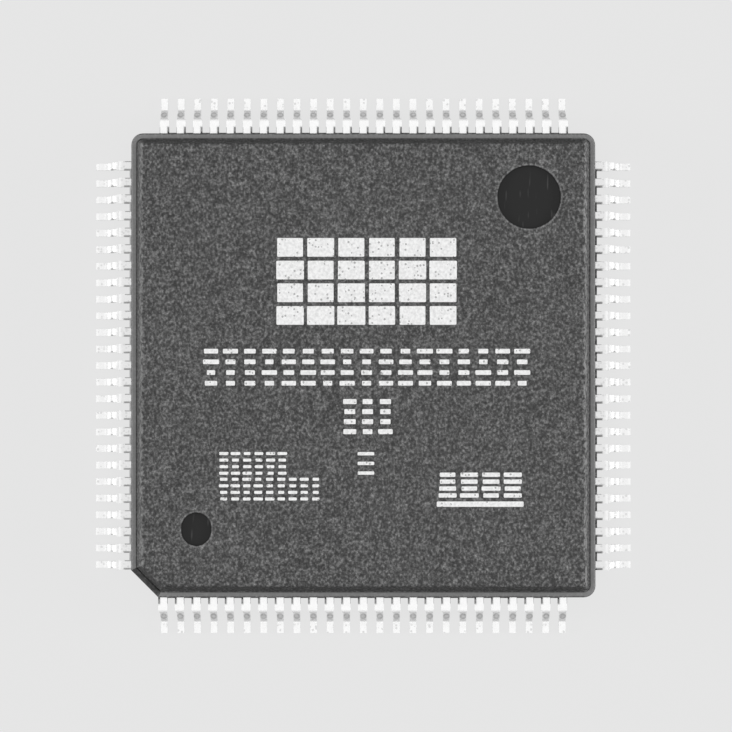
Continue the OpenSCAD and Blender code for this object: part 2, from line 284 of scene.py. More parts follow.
class StageSettings(PropertyGroup):
    """The camera, the lamps and the floor."""

    lens: FloatProperty(name="Lens", description="Focal length in millimetres", default=270.0, min=20.0)
    distance: length("Distance", "From the lens to the chip", 0.165)
    elevation: angle("Elevation", "Angle of the view above the floor", 89)
    floor: colour("Floor", "Colour of the floor and the background", (0.79, 0.79, 0.79))
    floor_bounce: colour("Floor bounce", "Colour of the light that the floor sends back", (0.35, 0.35, 0.35))
    floor_size: length("Floor size", "Side of the square floor", 4.0)
    shadow: fraction("Shadow", "Strength of the shadow on the floor", 0.055)
    top_size: length("Top lamp size", "Side of the soft lamp above the chip", 0.6)
    top_height: length("Top lamp height", "Height of the soft lamp over the chip", 0.4)
    top_power: watts("Top lamp", "Power of the soft lamp in watts", 1.3)
    side_distance: length("Side lamp distance", "From the chip to each side lamp", 0.5)
    side_size: length("Side lamp size", "Length of each side lamp", 0.3)
    side_power: watts("Side lamps", "Power of each side lamp in watts", 1.8)
    side_height: angle("Side lamp height", "Angle of the side lamps above the floor", 16)
    sky: FloatProperty(name="Sky", description="Strength of the light from all round", default=0.1, min=0.0)


# ---------------------------------------------------------------------------
# Node helpers


def add_node(tree, kind, inputs=None, **settings):
    """Adds a node; inputs maps a socket's name or number to a value or to another node's output."""
    node = tree.nodes.new(kind)
    for name, value in settings.items():
        setattr(node, name, value)
    for key, value in (inputs or {}).items():
        if isinstance(value, bpy.types.NodeSocket):
            tree.links.new(value, node.inputs[key])
        else:
            node.inputs[key].default_value = value
    return node


def maths(tree, operation, a, b=0.0):
    """One Math node's result."""
    return add_node(tree, "ShaderNodeMath", {0: a, 1: b}, operation=operation).outputs[0]


def product(tree, *values):
    """All the values multiplied together."""
    result = values[0]
    for value in values[1:]:
        result = maths(tree, "MULTIPLY", result, value)
    return result


def highest(tree, *values):
    """The largest of the values."""
    result = values[0]
    for value in values[1:]:
        result = maths(tree, "MAXIMUM", result, value)
    return result


def opposite(tree, mask):
    """0 where the mask is 1, 1 where it is 0."""
    return maths(tree, "SUBTRACT", 1.0, mask)


def mix_value(tree, factor, a, b):
    """A where factor is 0, b where it is 1, for numbers."""
    return add_node(tree, "ShaderNodeMix", {0: factor, 2: a, 3: b}, data_type="FLOAT").outputs[0]


def mix_colour(tree, factor, a, b):
    """A where factor is 0, b where it is 1, for colours."""
    mix = add_node(tree, "ShaderNodeMix", {"Factor": factor}, data_type="RGBA")
    for socket, value in ((mix.inputs[6], a), (mix.inputs[7], b)):
        if isinstance(value, bpy.types.NodeSocket):
            tree.links.new(value, socket)
        else:
            socket.default_value = (*value, 1.0)
    return mix.outputs[2]


def ramp(tree, value, low, high):
    """0 below low, 1 above high, smooth between them."""
    return add_node(
        tree, "ShaderNodeMapRange", {"Value": value, "From Min": low, "From Max": high},
        interpolation_type="SMOOTHSTEP",
    ).outputs["Result"]


def between(tree, value, low, high, soft):
    """1 where value lies between low and high, with soft ends."""
    rising = ramp(tree, value, low - soft, low + soft)
    falling = ramp(tree, value, high + soft, high - soft)
    return product(tree, rising, falling)


def blob(tree, across, along, half_width, half_length):
    """1 in the middle of a soft oval patch, 0 outside it."""
    a = maths(tree, "POWER", maths(tree, "DIVIDE", across, half_width), 2.0)
    b = maths(tree, "POWER", maths(tree, "DIVIDE", along, half_length), 2.0)
    return ramp(tree, maths(tree, "ADD", a, b), 1.3, 0.5)


def band(tree, along, half_length):
    """1 in the middle of a soft band, 0 outside it."""
    return blob(tree, 0.0, along, 1.0, half_length)


def place_on_chip(tree):
    """Where a point lies on the chip, as a vector."""
    return add_node(tree, "ShaderNodeTexCoord").outputs["Object"]


def coordinates(tree):
    """Where a point lies on the chip: its x, y and z."""
    return add_node(tree, "ShaderNodeSeparateXYZ", {0: place_on_chip(tree)}).outputs


def new_group(name, kind, inputs, outputs):
    """A node group with named sockets, given as (name, socket type, default)."""
    tree = bpy.data.node_groups.new(name, kind)
    for in_out, sockets in (("INPUT", inputs), ("OUTPUT", outputs)):
        for label, socket_type, default in sockets:
            socket = tree.interface.new_socket(label, in_out=in_out, socket_type=socket_type)
            if default is not None:
                socket.default_value = default
    return tree, tree.nodes.new("NodeGroupInput"), tree.nodes.new("NodeGroupOutput")


def grain_group():
    """Fine even grain: a value from 0 to 1 around the middle, at a size in metres."""
    if "Grain" in bpy.data.node_groups:
        return bpy.data.node_groups["Grain"]
    tree, start, end = new_group(
        "Grain", "ShaderNodeTree",
        [
            ("Size", "NodeSocketFloat", 0.00005),
            ("Contrast", "NodeSocketFloat", 2.0),
            ("Middle", "NodeSocketFloat", 0.5),
            ("Detail", "NodeSocketFloat", 2.0),
        ],
        [("Value", "NodeSocketFloat", None)],
    )
    place = add_node(
        tree, "ShaderNodeMapping", {"Vector": place_on_chip(tree), "Scale": (1.0, 0.85, 1.0)}
    ).outputs[0]
    scale = maths(tree, "DIVIDE", 1.0, start.outputs["Size"])
    noise = add_node(
        tree, "ShaderNodeTexNoise",
        {"Vector": place, "Scale": scale, "Detail": start.outputs["Detail"], "Roughness": 0.6},
    ).outputs[0]
    spread = product(tree, maths(tree, "SUBTRACT", noise, 0.5), start.outputs["Contrast"])
    value = maths(tree, "ADD", spread, start.outputs["Middle"])
    tree.links.new(add_node(tree, "ShaderNodeClamp", {0: value}).outputs[0], end.inputs["Value"])
    return tree


def specks_group():
    """Scattered round specks: 1 in a speck and 0 outside, at a spacing in metres."""
    if "Specks" in bpy.data.node_groups:
        return bpy.data.node_groups["Specks"]
    tree, start, end = new_group(
        "Specks", "ShaderNodeTree",
        [
            ("Spacing", "NodeSocketFloat", 0.0003),
            ("Radius", "NodeSocketFloat", 0.2),
            ("Share", "NodeSocketFloat", 0.5),
        ],
        [("Mask", "NodeSocketFloat", None)],
    )
    scale = maths(tree, "DIVIDE", 1.0, start.outputs["Spacing"])
    cells = add_node(tree, "ShaderNodeTexVoronoi", {"Vector": place_on_chip(tree), "Scale": scale})
    near = maths(tree, "LESS_THAN", cells.outputs["Distance"], start.outputs["Radius"])
    pick = add_node(tree, "ShaderNodeSeparateColor", {0: cells.outputs["Color"]}).outputs[0]
    kept = maths(tree, "LESS_THAN", pick, start.outputs["Share"])
    tree.links.new(product(tree, near, kept), end.inputs["Mask"])
    return tree


def lead_place_group():
    """Where a point lies on its lead: how far out along it and across it, and whether at north or south."""
    if "Lead place" in bpy.data.node_groups:
        return bpy.data.node_groups["Lead place"]
    tree, start, end = new_group(
        "Lead place", "ShaderNodeTree",
        [("Pitch", "NodeSocketFloat", LEAD_PITCH)],
        [
            ("Along", "NodeSocketFloat", None),
            ("Across", "NodeSocketFloat", None),
            ("North South", "NodeSocketFloat", None),
        ],
    )
    x, y = coordinates(tree)[:2]
    far_x = maths(tree, "ABSOLUTE", x)
    far_y = maths(tree, "ABSOLUTE", y)
    north_south = maths(tree, "GREATER_THAN", far_y, far_x)
    side = mix_value(tree, north_south, y, x)
    nearest = maths(tree, "ROUND", maths(tree, "DIVIDE", side, start.outputs["Pitch"]))
    across = maths(tree, "SUBTRACT", side, product(tree, nearest, start.outputs["Pitch"]))
    tree.links.new(highest(tree, far_x, far_y), end.inputs["Along"])
    tree.links.new(across, end.inputs["Across"])
    tree.links.new(north_south, end.inputs["North South"])
    return tree


def use_group(tree, group, **inputs):
    """Places a node group and gives its outputs."""
    node = tree.nodes.new("ShaderNodeGroup")
    node.node_tree = group
    for name, value in inputs.items():
        node.inputs[name].default_value = value
    return node.outputs


def new_material(name):
    """A material with an empty Principled surface: (material, tree, shader)."""
    material = bpy.data.materials.new(name)
    material.use_nodes = True
    tree = material.node_tree
    return material, tree, tree.nodes["Principled BSDF"]


def bump(tree, shader, height, distance):
    """Raises the surface by distance, in metres, where height is 1."""
    node = add_node(tree, "ShaderNodeBump", {"Height": height, "Distance": distance})
    tree.links.new(node.outputs["Normal"], shader.inputs["Normal"])


def dress(nodes, material):
    """Gives CAD nodes one material."""
    for node in nodes:
        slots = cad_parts[node].data.materials
        slots.clear()
        slots.append(material)


def nodes_named(start):
    """The names of the CAD nodes that begin with start, in order."""
    return sorted(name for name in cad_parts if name.startswith(start))


# ---------------------------------------------------------------------------
# The moulded body's material


def filled_resin(tree, finish, fine):
    """Pale filler grains in dark resin, with a few specks; fine is the finest grain."""
    grains = grain_group()
    coarse = use_group(tree, grains, Size=3.4 * finish.grain, Contrast=0.22)[0]
    broad = use_group(tree, grains, Size=40 * finish.grain, Contrast=2.0)[0]
    specks = use_group(tree, specks_group(), Spacing=1.8 * finish.grain, Radius=0.3, Share=0.12)[0]
    above = maths(tree, "SUBTRACT", maths(tree, "ADD", fine, coarse), FILLER_START)
    resin = mix_colour(tree, maths(tree, "POWER", above, FILLER_POWER), finish.dark, finish.light)
    resin = mix_colour(tree, product(tree, broad, 0.04), resin, finish.flash_and_highlight)
    return mix_colour(tree, product(tree, specks, 0.35), resin, finish.flash_and_highlight)


def chamfer_mask(tree, x, y):
    """1 on the chamfered corner, both its wall and its edge."""
    past_corner = maths(tree, "ADD", maths(tree, "ADD", x, y), 2 * BODY_HALF - CHAMFER)
    from_chamfer = maths(tree, "DIVIDE", past_corner, math.sqrt(2.0))
    from_side = maths(tree, "ADD", maths(tree, "MINIMUM", x, y), BODY_HALF)
    return maths(tree, "LESS_THAN", from_chamfer, maths(tree, "MINIMUM", from_side, CHAMFER_EDGE))


def wear_and_painted_light_share(tree, finish, x, y, ledge, chamfer):
    """How pale the resin is: ledge, wear and painted highlight by the east and west edges, less where shade
    is painted.
    """
    from_middle = maths(tree, "ABSOLUTE", x)
    # Pale band near the east and west edges: partly wear, partly painted highlight
    edge = between(tree, from_middle, BODY_HALF - WORN_AND_HIGHLIT_BAND[0], BODY_HALF - WORN_AND_HIGHLIT_BAND[1], 0.04 * MM)
    patches = use_group(tree, grain_group(), Size=0.14 * MM, Contrast=6.0, Middle=0.45)[0]
    # Painted highlight: the east band is paler than the west
    more_on_east = mix_value(tree, maths(tree, "GREATER_THAN", x, 0.0), 1.0, EAST_WEAR_AND_HIGHLIGHT)
    edge = product(tree, edge, patches, more_on_east)
    pale = highest(tree, product(tree, ledge, finish.ledge_wear), product(tree, edge, finish.edge_wear_and_highlight))
    # Painted shade: the chamfer keeps less of the pallor
    pale = product(tree, pale, opposite(tree, product(tree, chamfer, finish.chamfer_shade_cover)))
    # Painted shade: the ledge's front and back rim keeps less of the pallor
    rim = ramp(tree, maths(tree, "ABSOLUTE", y), BODY_HALF - OUTER_RIM_SHADE[0], BODY_HALF - OUTER_RIM_SHADE[1])
    return product(tree, pale, opposite(tree, product(tree, rim, finish.rim_shade_cover)))


def thin_and_lit_share(tree, finish, x, y):
    """Pale thin resin outside the body: webs and slivers, with painted light above the side leads and at
    west.
    """
    far = highest(tree, maths(tree, "ABSOLUTE", x), maths(tree, "ABSOLUTE", y))
    lead = use_group(tree, lead_place_group(), Pitch=LEAD_PITCH)
    # Painted light: the slivers above the side leads are paler than those below
    upper_side = product(
        tree, maths(tree, "GREATER_THAN", lead["Across"], 0.0), opposite(tree, lead["North South"])
    )
    sliver = maths(tree, "GREATER_THAN", far, BODY_HALF + WEB_END)
    strips = product(tree, sliver, mix_value(tree, upper_side, finish.lower_strips, finish.upper_strips_painted_light))
    # Painted light: the west side is paler
    west = maths(tree, "LESS_THAN", x, -BODY_HALF - 0.003 * MM)
    return highest(tree, strips, product(tree, west, mix_value(tree, sliver, 1.0, finish.west_strips_painted_light)))


def painted_shade_share(tree, finish, x, y, z, chamfer):
    """Painted shade: how dark the chamfer and the upper walls at the front and back are painted."""
    wall = between(tree, z, LEDGE_TOP + 0.01 * MM, TOP_Z - 0.04 * MM, 0.01 * MM)
    front_or_back = maths(tree, "GREATER_THAN", maths(tree, "ABSOLUTE", y), maths(tree, "ABSOLUTE", x))
    wall = product(tree, wall, front_or_back)
    return highest(tree, product(tree, chamfer, finish.chamfer_shade), product(tree, wall, finish.wall_shade))


def beyond_mark(tree, x, y, mark):
    """Distance outwards from the edge of a sunk mark, negative inside it."""
    middle_x, middle_y, radius, stretch = (MM * value for value in mark)
    away_x = maths(tree, "SUBTRACT", x, middle_x)
    away_y = maths(tree, "ABSOLUTE", maths(tree, "SUBTRACT", y, middle_y))
    away_y = maths(tree, "SUBTRACT", away_y, stretch / 2)
    away = add_node(tree, "ShaderNodeCombineXYZ", {0: away_x, 1: highest(tree, away_y, 0.0)}).outputs[0]
    distance = add_node(tree, "ShaderNodeVectorMath", {0: away}, operation="LENGTH").outputs["Value"]
    return maths(tree, "SUBTRACT", distance, radius)


def scratch_mask(tree):
    """A few thin scratches, mostly along Y."""
    turned = add_node(
        tree, "ShaderNodeMapping",
        {"Vector": place_on_chip(tree), "Rotation": (0.0, 0.0, 0.15), "Scale": (8000.0, 1100.0, 1.0)},
    ).outputs[0]
    noise = add_node(tree, "ShaderNodeTexNoise", {"Vector": turned, "Scale": 1.0, "Detail": 1.0}).outputs[0]
    return ramp(tree, noise, 0.62, 0.74)


def mould_compound(finish):
    """Matt, speckled resin: smooth in the round marks, pale where worn or thin, with painted highlights and
    shade.
    """
    material, tree, shader = new_material("Mould compound")
    x, y, z = coordinates(tree)
    fine = use_group(tree, grain_group(), Size=finish.grain, Contrast=1.35, Detail=1.0)[0]
    ledge = between(tree, z, LEDGE_TOP - 0.02 * MM, LEDGE_TOP + 0.008 * MM, 0.006 * MM)
    chamfer = chamfer_mask(tree, x, y)
    rough = filled_resin(tree, finish, fine)
    # Pale ledge and edge band: wear, painted highlight at east and west, painted shade on the chamfer and rim
    rough = mix_colour(tree, wear_and_painted_light_share(tree, finish, x, y, ledge, chamfer), rough, finish.flash_and_highlight)
    # Thin flash, with painted light above the side leads and on the west side
    rough = mix_colour(tree, thin_and_lit_share(tree, finish, x, y), rough, finish.thin)
    # Painted shade on the chamfer and the front and back upper walls
    rough = mix_colour(tree, painted_shade_share(tree, finish, x, y, z, chamfer), rough, finish.smooth)

    # The round marks: a pale ring outside each, a painted edge highlight, and a polished floor
    out_of_mark = maths(
        tree, "MINIMUM", beyond_mark(tree, x, y, PIN1_MARK), beyond_mark(tree, x, y, EJECTOR_MARK)
    )
    rim_highlight = between(tree, out_of_mark, 0.012 * MM, finish.rim, 0.01 * MM)
    rough = mix_colour(tree, product(tree, rim_highlight, product(tree, fine, 0.7)), rough, finish.flash_and_highlight)
    inside = maths(tree, "LESS_THAN", out_of_mark, 0.01 * MM)
    floor_of_mark = between(tree, z, TOP_Z - 1.6 * MARK_DEPTH, TOP_Z - 0.3 * MARK_DEPTH, 0.02 * MM)
    smooth = product(tree, inside, floor_of_mark)
    scratches = product(tree, scratch_mask(tree), finish.scratches)
    polished = mix_colour(tree, scratches, finish.smooth, finish.light)
    tree.links.new(mix_colour(tree, smooth, rough, polished), shader.inputs["Base Color"])
    roughness = mix_value(tree, smooth, finish.roughness, finish.mark_roughness)
    tree.links.new(roughness, shader.inputs["Roughness"])
    shader.inputs["Specular IOR Level"].default_value = 0.15

    lip = ramp(tree, out_of_mark, finish.rim, 0.0)
    height = product(tree, fine, opposite(tree, highest(tree, smooth, ledge)))
    bump(tree, shader, maths(tree, "ADD", height, product(tree, lip, 1.2)), finish.relief)
    return material


# ---------------------------------------------------------------------------
# The leads' material


def dull_and_shade_share(tree, finish, along, across, off_leg, north_south, grain, patches):
    """Dull tin in flecks and grain, and painted shade: front and back legs, side feet and a bend shadow."""
    east_west = opposite(tree, north_south)
    # Painted shade on the front and back legs, lighter in its middle
    leg_shade = product(tree, blob(tree, across, off_leg, *LEG_SHADE), north_south)
    mottled = maths(tree, "ADD", product(tree, patches, 0.35), 0.65)
    hub = opposite(tree, product(tree, blob(tree, across, off_leg, *LEG_SHADE_HUB), 0.3))
    leg_shade = product(tree, leg_shade, product(tree, mottled, hub))
    # Painted shadow below the bend of the side leads
    bend_shadow_across = maths(tree, "SUBTRACT", across, BEND_SHADOW_PLACE[0])
    bend_shadow_along = maths(tree, "SUBTRACT", off_leg, BEND_SHADOW_PLACE[1])
    bend_shadow = product(tree, blob(tree, bend_shadow_across, bend_shadow_along, *BEND_SHADOW), east_west)
    flecks = use_group(tree, specks_group(), Spacing=0.09 * MM, Radius=0.42, Share=0.28)[0]
    flecks = product(tree, flecks, ramp(tree, along, *FLECK_FADE), finish.flecks)
    # Painted shade in the middle of the side leads' feet
    foot_shade = blob(tree, across, maths(tree, "SUBTRACT", along, FOOT_SHADE_MIDDLE), *FOOT_SHADE)
    foot_shade = product(tree, foot_shade, east_west, finish.foot_shade)
    return highest(tree, product(tree, grain, patches, 0.22), leg_shade, bend_shadow, flecks, foot_shade)


def residue_and_shadow_share(tree, finish, along, across, north_south):
    """Dark resin on one side of the neck: partly residue, partly painted shadow."""
    one_side = product(tree, across, maths(tree, "SIGN", coordinates(tree)["Y"]))
    edge = mix_value(tree, north_south, product(tree, across, -1.0), one_side)
    neck = between(tree, along, BODY_HALF, BODY_HALF + RESIDUE_AND_SHADOW_END, 0.02 * MM)
    residue_and_shadow = product(tree, neck, ramp(tree, edge, *RESIDUE_AND_SHADOW_FADE))
    return product(tree, residue_and_shadow, mix_value(tree, north_south, finish.side_residue_and_shadow, finish.end_residue_and_shadow))


def neck_shade_share(tree, finish, along, north_south):
    """Painted shade on the necks at east and west: twice as much in scattered specks."""
    shaded_neck = ramp(tree, along, BODY_HALF + NECK_SHADE_FADE[0], BODY_HALF + NECK_SHADE_FADE[1])
    shaded_neck = product(tree, shaded_neck, opposite(tree, north_south), finish.neck_shade)
    specks = use_group(tree, specks_group(), Spacing=0.07 * MM, Radius=0.5, Share=0.3)[0]
    return product(tree, shaded_neck, maths(tree, "ADD", specks, 1.0))


def bend_share(tree, off_leg, north_south, patches):
    """1 on the two bends of the leads at east and west, a little uneven."""
    inner = band(tree, maths(tree, "SUBTRACT", off_leg, INNER_BEND), INNER_BEND_HALF)
    outer = band(tree, maths(tree, "SUBTRACT", off_leg, OUTER_BEND), OUTER_BEND_HALF)
    bends = product(tree, highest(tree, inner, outer), opposite(tree, north_south))
    return product(tree, bends, maths(tree, "ADD", product(tree, patches, 0.5), 0.75))


def tin_plating(finish):
    """Matt tin with painted highlight and shade, dull flecks and grain, and resin and painted shadow on the
    necks.
    """
    material, tree, shader = new_material("Tin plating")
    grain = use_group(tree, grain_group(), Size=0.03 * MM, Contrast=1.6)[0]
    patches = use_group(tree, grain_group(), Size=0.11 * MM, Contrast=4.0)[0]
    along, across, north_south = use_group(tree, lead_place_group(), Pitch=LEAD_PITCH)
    off_leg = maths(tree, "SUBTRACT", along, LEG_MIDDLE)

    # Painted highlight: a paler band across the legs
    off_band = maths(tree, "SUBTRACT", off_leg, LEG_HIGHLIGHT)
    leg_highlight = band(tree, off_band, mix_value(tree, north_south, *LEG_HIGHLIGHT_HALF))
    plated = mix_colour(tree, leg_highlight, finish.tin, finish.bright)
    # Dull flecks and grain, with painted shade on the legs and feet and a painted bend shadow
    dull = dull_and_shade_share(tree, finish, along, across, off_leg, north_south, grain, patches)
    plated = mix_colour(tree, dull, plated, finish.dull)
    # Painted shade on the necks at east and west
    plated = mix_colour(tree, neck_shade_share(tree, finish, along, north_south), plated, finish.dull)
    # Partly resin residue, partly painted shadow on one side of each neck
    residue_and_shadow = residue_and_shadow_share(tree, finish, along, across, north_south)
    plated = mix_colour(tree, residue_and_shadow, plated, finish.residue_and_shadow)
    tree.links.new(plated, shader.inputs["Base Color"])
    tree.links.new(opposite(tree, residue_and_shadow), shader.inputs["Metallic"])
    bends = bend_share(tree, off_leg, north_south, patches)
    roughness = mix_value(tree, bends, finish.roughness, finish.bend_roughness)
    tree.links.new(roughness, shader.inputs["Roughness"])
    bump(tree, shader, grain, 0.001 * MM)
    return material


# ---------------------------------------------------------------------------
# The other materials


def shaded(shade, share):
    """A colour made darker or lighter by a share, up to white."""
    return [min(1.0, share * channel) for channel in shade]


def plain_metal(name, shade, grain_size, roughness):
    """A metal with a fine grain, for the pieces inside."""
    material, tree, shader = new_material(name)
    grain = use_group(tree, grain_group(), Size=grain_size, Contrast=1.5)[0]
    tree.links.new(mix_colour(tree, grain, shaded(shade, 0.75), shade), shader.inputs["Base Color"])
    shader.inputs["Metallic"].default_value = 1.0
    shader.inputs["Roughness"].default_value = roughness
    bump(tree, shader, grain, 0.001 * MM)
    return material


def cast_resin(name, shade, grain_size, roughness, coat=0.0):
    """A filled resin or a film, for the pieces inside."""
    material, tree, shader = new_material(name)
    grain = use_group(tree, grain_group(), Size=grain_size, Contrast=2.0)[0]
    tree.links.new(mix_colour(tree, grain, shaded(shade, 0.6), shade), shader.inputs["Base Color"])
    shader.inputs["Roughness"].default_value = roughness
    shader.inputs["Coat Weight"].default_value = coat
    bump(tree, shader, grain, 0.002 * MM)
    return material


def polished_silicon(shade):
    """Polished silicon with faint rows of circuit blocks."""
    material, tree, shader = new_material("Silicon")
    blocks = add_node(
        tree, "ShaderNodeTexVoronoi", {"Vector": place_on_chip(tree), "Scale": 1.0 / (0.6 * MM)},
        distance="CHEBYCHEV",
    ).outputs["Color"]
    pick = add_node(tree, "ShaderNodeSeparateColor", {0: blocks}).outputs[0]
    tree.links.new(mix_colour(tree, pick, shade, shaded(shade, 1.6)), shader.inputs["Base Color"])
    shader.inputs["Metallic"].default_value = 0.6
    shader.inputs["Roughness"].default_value = 0.18
    return material


def printing_ink(settings):
    """White ink, thin over the rough face, so that dark specks show through."""
    material, tree, shader = new_material("Printing ink")
    specks = use_group(tree, specks_group(), Spacing=0.09 * MM, Radius=0.36, Share=0.22)[0]
    grain = use_group(tree, grain_group(), Size=0.08 * MM, Contrast=3.0, Middle=0.6)[0]
    blotchy = mix_colour(tree, grain, shaded(settings.ink, 0.78), settings.ink)
    blotchy = mix_colour(tree, product(tree, specks, 0.6), blotchy, settings.bare)
    tree.links.new(blotchy, shader.inputs["Base Color"])
    shader.inputs["Roughness"].default_value = 0.7
    bump(tree, shader, grain, 0.003 * MM)
    return material


# ---------------------------------------------------------------------------
# Printed marks


def dash_solid(tree, value, width):
    """One dash as a closed solid: a rounded outline, filled and raised."""
    outline = add_node(
        tree, "GeometryNodeCurvePrimitiveQuadrilateral", {"Width": width, "Height": value["Stroke"]}
    ).outputs[0]
    rounded = add_node(
        tree, "GeometryNodeFilletCurve",
        {"Curve": outline, "Radius": value["Corner"], "Count": value["Corner Steps"], "Limit Radius": True},
        mode="POLY",
    ).outputs[0]
    face = add_node(tree, "GeometryNodeFillCurve", {"Curve": rounded}, mode="NGONS").outputs[0]
    raised = add_node(
        tree, "GeometryNodeExtrudeMesh",
        {"Mesh": face, "Offset Scale": value["Thickness"], "Individual": False},
        mode="FACES",
    ).outputs[0]
    under = add_node(tree, "GeometryNodeFlipFaces", {"Mesh": face}).outputs[0]
    both = tree.nodes.new("GeometryNodeJoinGeometry")
    tree.links.new(raised, both.inputs[0])
    tree.links.new(under, both.inputs[0])
    return add_node(
        tree, "GeometryNodeMergeByDistance", {"Geometry": both.outputs[0], "Distance": 1e-7}
    ).outputs[0]


def dashes_tree(material):
    """Geometry nodes: a block of rows of rounded dashes of uneven lengths."""
    tree, start, end = new_group(
        "Printed dashes", "GeometryNodeTree",
        [
            ("Geometry", "NodeSocketGeometry", None),
            ("Place", "NodeSocketVector", None),
            ("Width", "NodeSocketFloat", 0.005),
            ("Height", "NodeSocketFloat", 0.001),
            ("Columns", "NodeSocketInt", 10),
            ("Rows", "NodeSocketInt", 3),
            ("Stroke", "NodeSocketFloat", 0.00015),
            ("Gap", "NodeSocketFloat", 0.2),
            ("Corner", "NodeSocketFloat", 0.00003),
            ("Corner Steps", "NodeSocketInt", 3),
            ("Shortest", "NodeSocketFloat", 0.72),
            ("Thickness", "NodeSocketFloat", 0.00001),
            ("Seed", "NodeSocketInt", 0),
        ],
        [("Geometry", "NodeSocketGeometry", None)],
    )
    value = start.outputs
    cell = maths(tree, "DIVIDE", value["Width"], value["Columns"])
    points = add_node(
        tree, "GeometryNodeMeshGrid",
        {
            "Size X": maths(tree, "SUBTRACT", value["Width"], cell),
            "Size Y": maths(tree, "SUBTRACT", value["Height"], value["Stroke"]),
            "Vertices X": value["Columns"],
            "Vertices Y": value["Rows"],
        },
    ).outputs["Mesh"]
    stretch = add_node(
        tree, "FunctionNodeRandomValue",
        {2: value["Shortest"], 3: 1.0, "Seed": maths(tree, "ADD", value["Seed"], 1.0)},
        data_type="FLOAT",
    ).outputs[1]
    scale = add_node(tree, "ShaderNodeCombineXYZ", {0: stretch, 1: 1.0, 2: 1.0}).outputs[0]
    dash = dash_solid(tree, value, product(tree, cell, opposite(tree, value["Gap"])))
    row = add_node(
        tree, "GeometryNodeInstanceOnPoints", {"Points": points, "Instance": dash, "Scale": scale}
    ).outputs[0]
    placed = add_node(
        tree, "GeometryNodeTransform", {"Geometry": row, "Translation": value["Place"]}
    ).outputs[0]
    solid = add_node(tree, "GeometryNodeRealizeInstances", {0: placed}).outputs[0]
    inked = add_node(tree, "GeometryNodeSetMaterial", {0: solid, "Material": material}).outputs[0]
    tree.links.new(inked, end.inputs[0])
    return tree


def set_inputs(modifier, tree, values):
    """Sets a Geometry Nodes modifier's inputs by their names."""
    for item in tree.interface.items_tree:
        if item.name in values and item.in_out == "INPUT":
            modifier[item.identifier] = values[item.name]


def printed_block(tree, name, values):
    """One evaluated block of dashes as a plain mesh."""
    carrier = bpy.data.objects.new(name, bpy.data.meshes.new(name))
    bpy.context.collection.objects.link(carrier)
    modifier = carrier.modifiers.new("Printed dashes", "NODES")
    modifier.node_group = tree
    set_inputs(modifier, tree, values)
    evaluated = carrier.evaluated_get(bpy.context.evaluated_depsgraph_get())
    mesh = bpy.data.meshes.new_from_object(evaluated)
    bpy.data.objects.remove(carrier)
    return mesh


def print_marks(settings):
    """All the printed marks as one piece on the top face."""
    ink = printing_ink(settings)
    tree = dashes_tree(ink)
    joined = bmesh.new()
    for name, block in MARK_BLOCKS.items():
        x, y = block.middle
        width, height = block.size
        values = {
            "Place": (x * MM, y * MM, TOP_Z - settings.sunk * settings.thickness),
            "Width": width * MM,
            "Height": height * MM,
            "Columns": block.columns,
            "Rows": block.rows,
            "Stroke": block.stroke * MM,
            "Gap": block.gap,
            "Shortest": block.shortest,
            "Corner": settings.corner,
            "Corner Steps": settings.corner_steps,
            "Thickness": settings.thickness,
            "Seed": block.seed,
        }
        mesh = printed_block(tree, name, values)
        joined.from_mesh(mesh)
        bpy.data.meshes.remove(mesh)
    mesh = bpy.data.meshes.new("printed_marks")
    joined.to_mesh(mesh)
    joined.free()
    mesh.materials.append(ink)
    marks = bpy.data.objects.new("printed_marks", mesh)
    bpy.context.collection.objects.link(marks)
    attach(marks, ROOT)


# ---------------------------------------------------------------------------
# Stage


def aim(obj, place, target):
    """Puts a lamp or a camera in its place and turns it to the target."""
    obj.location = place
    obj.rotation_euler = (target - place).to_track_quat("-Z", "Y").to_euler()


def add_lamp(name, power, size, place):
    """A soft rectangular lamp that shines on the chip."""
    lamp = bpy.data.lights.new(name, "AREA")
    lamp.energy = power
    lamp.shape = "RECTANGLE"
    lamp.size, lamp.size_y = size
    obj = bpy.data.objects.new(name, lamp)
    bpy.context.collection.objects.link(obj)
    aim(obj, place, Vector())


def pale_rays(tree):
    """1 for rays that show the background: those of the camera, of mirrors and of glass."""
    rays = add_node(tree, "ShaderNodeLightPath").outputs
    return highest(tree, rays["Is Camera Ray"], rays["Is Glossy Ray"], rays["Is Transmission Ray"])


def add_floor(stage):
    """A pale floor that keeps a soft shadow."""
    mesh = bpy.data.meshes.new("floor")
    half = stage.floor_size / 2
    corners = [(-half, -half, 0), (half, -half, 0), (half, half, 0), (-half, half, 0)]
    mesh.from_pydata(corners, [], [(0, 1, 2, 3)])
    floor = bpy.data.objects.new("floor", mesh)
    bpy.context.collection.objects.link(floor)
    material, tree, shader = new_material("Floor")
    seen = pale_rays(tree)
    tree.links.new(mix_colour(tree, seen, stage.floor_bounce, stage.floor), shader.inputs["Base Color"])
    shader.inputs["Roughness"].default_value = 0.9
    shader.inputs["Specular IOR Level"].default_value = 0.0
    glow = add_node(tree, "ShaderNodeEmission", {"Color": (*stage.floor, 1.0)}).outputs[0]
    share = product(tree, seen, 1.0 - stage.shadow)
    mixed = add_node(tree, "ShaderNodeMixShader", {0: share, 1: shader.outputs[0], 2: glow}).outputs[0]
    tree.links.new(mixed, tree.nodes["Material Output"].inputs["Surface"])
    mesh.materials.append(material)


def add_sky(stage):
    """Light from all round: dim on the chip, pale where it is seen or mirrored."""
    world = bpy.data.worlds.new("Sky")
    world.use_nodes = True
    bpy.context.scene.world = world
    tree = world.node_tree
    background = tree.nodes["Background"]
    shown = mix_colour(tree, pale_rays(tree), [stage.sky] * 3, tuple(stage.floor))
    tree.links.new(shown, background.inputs["Color"])
    background.inputs["Strength"].default_value = 1.0


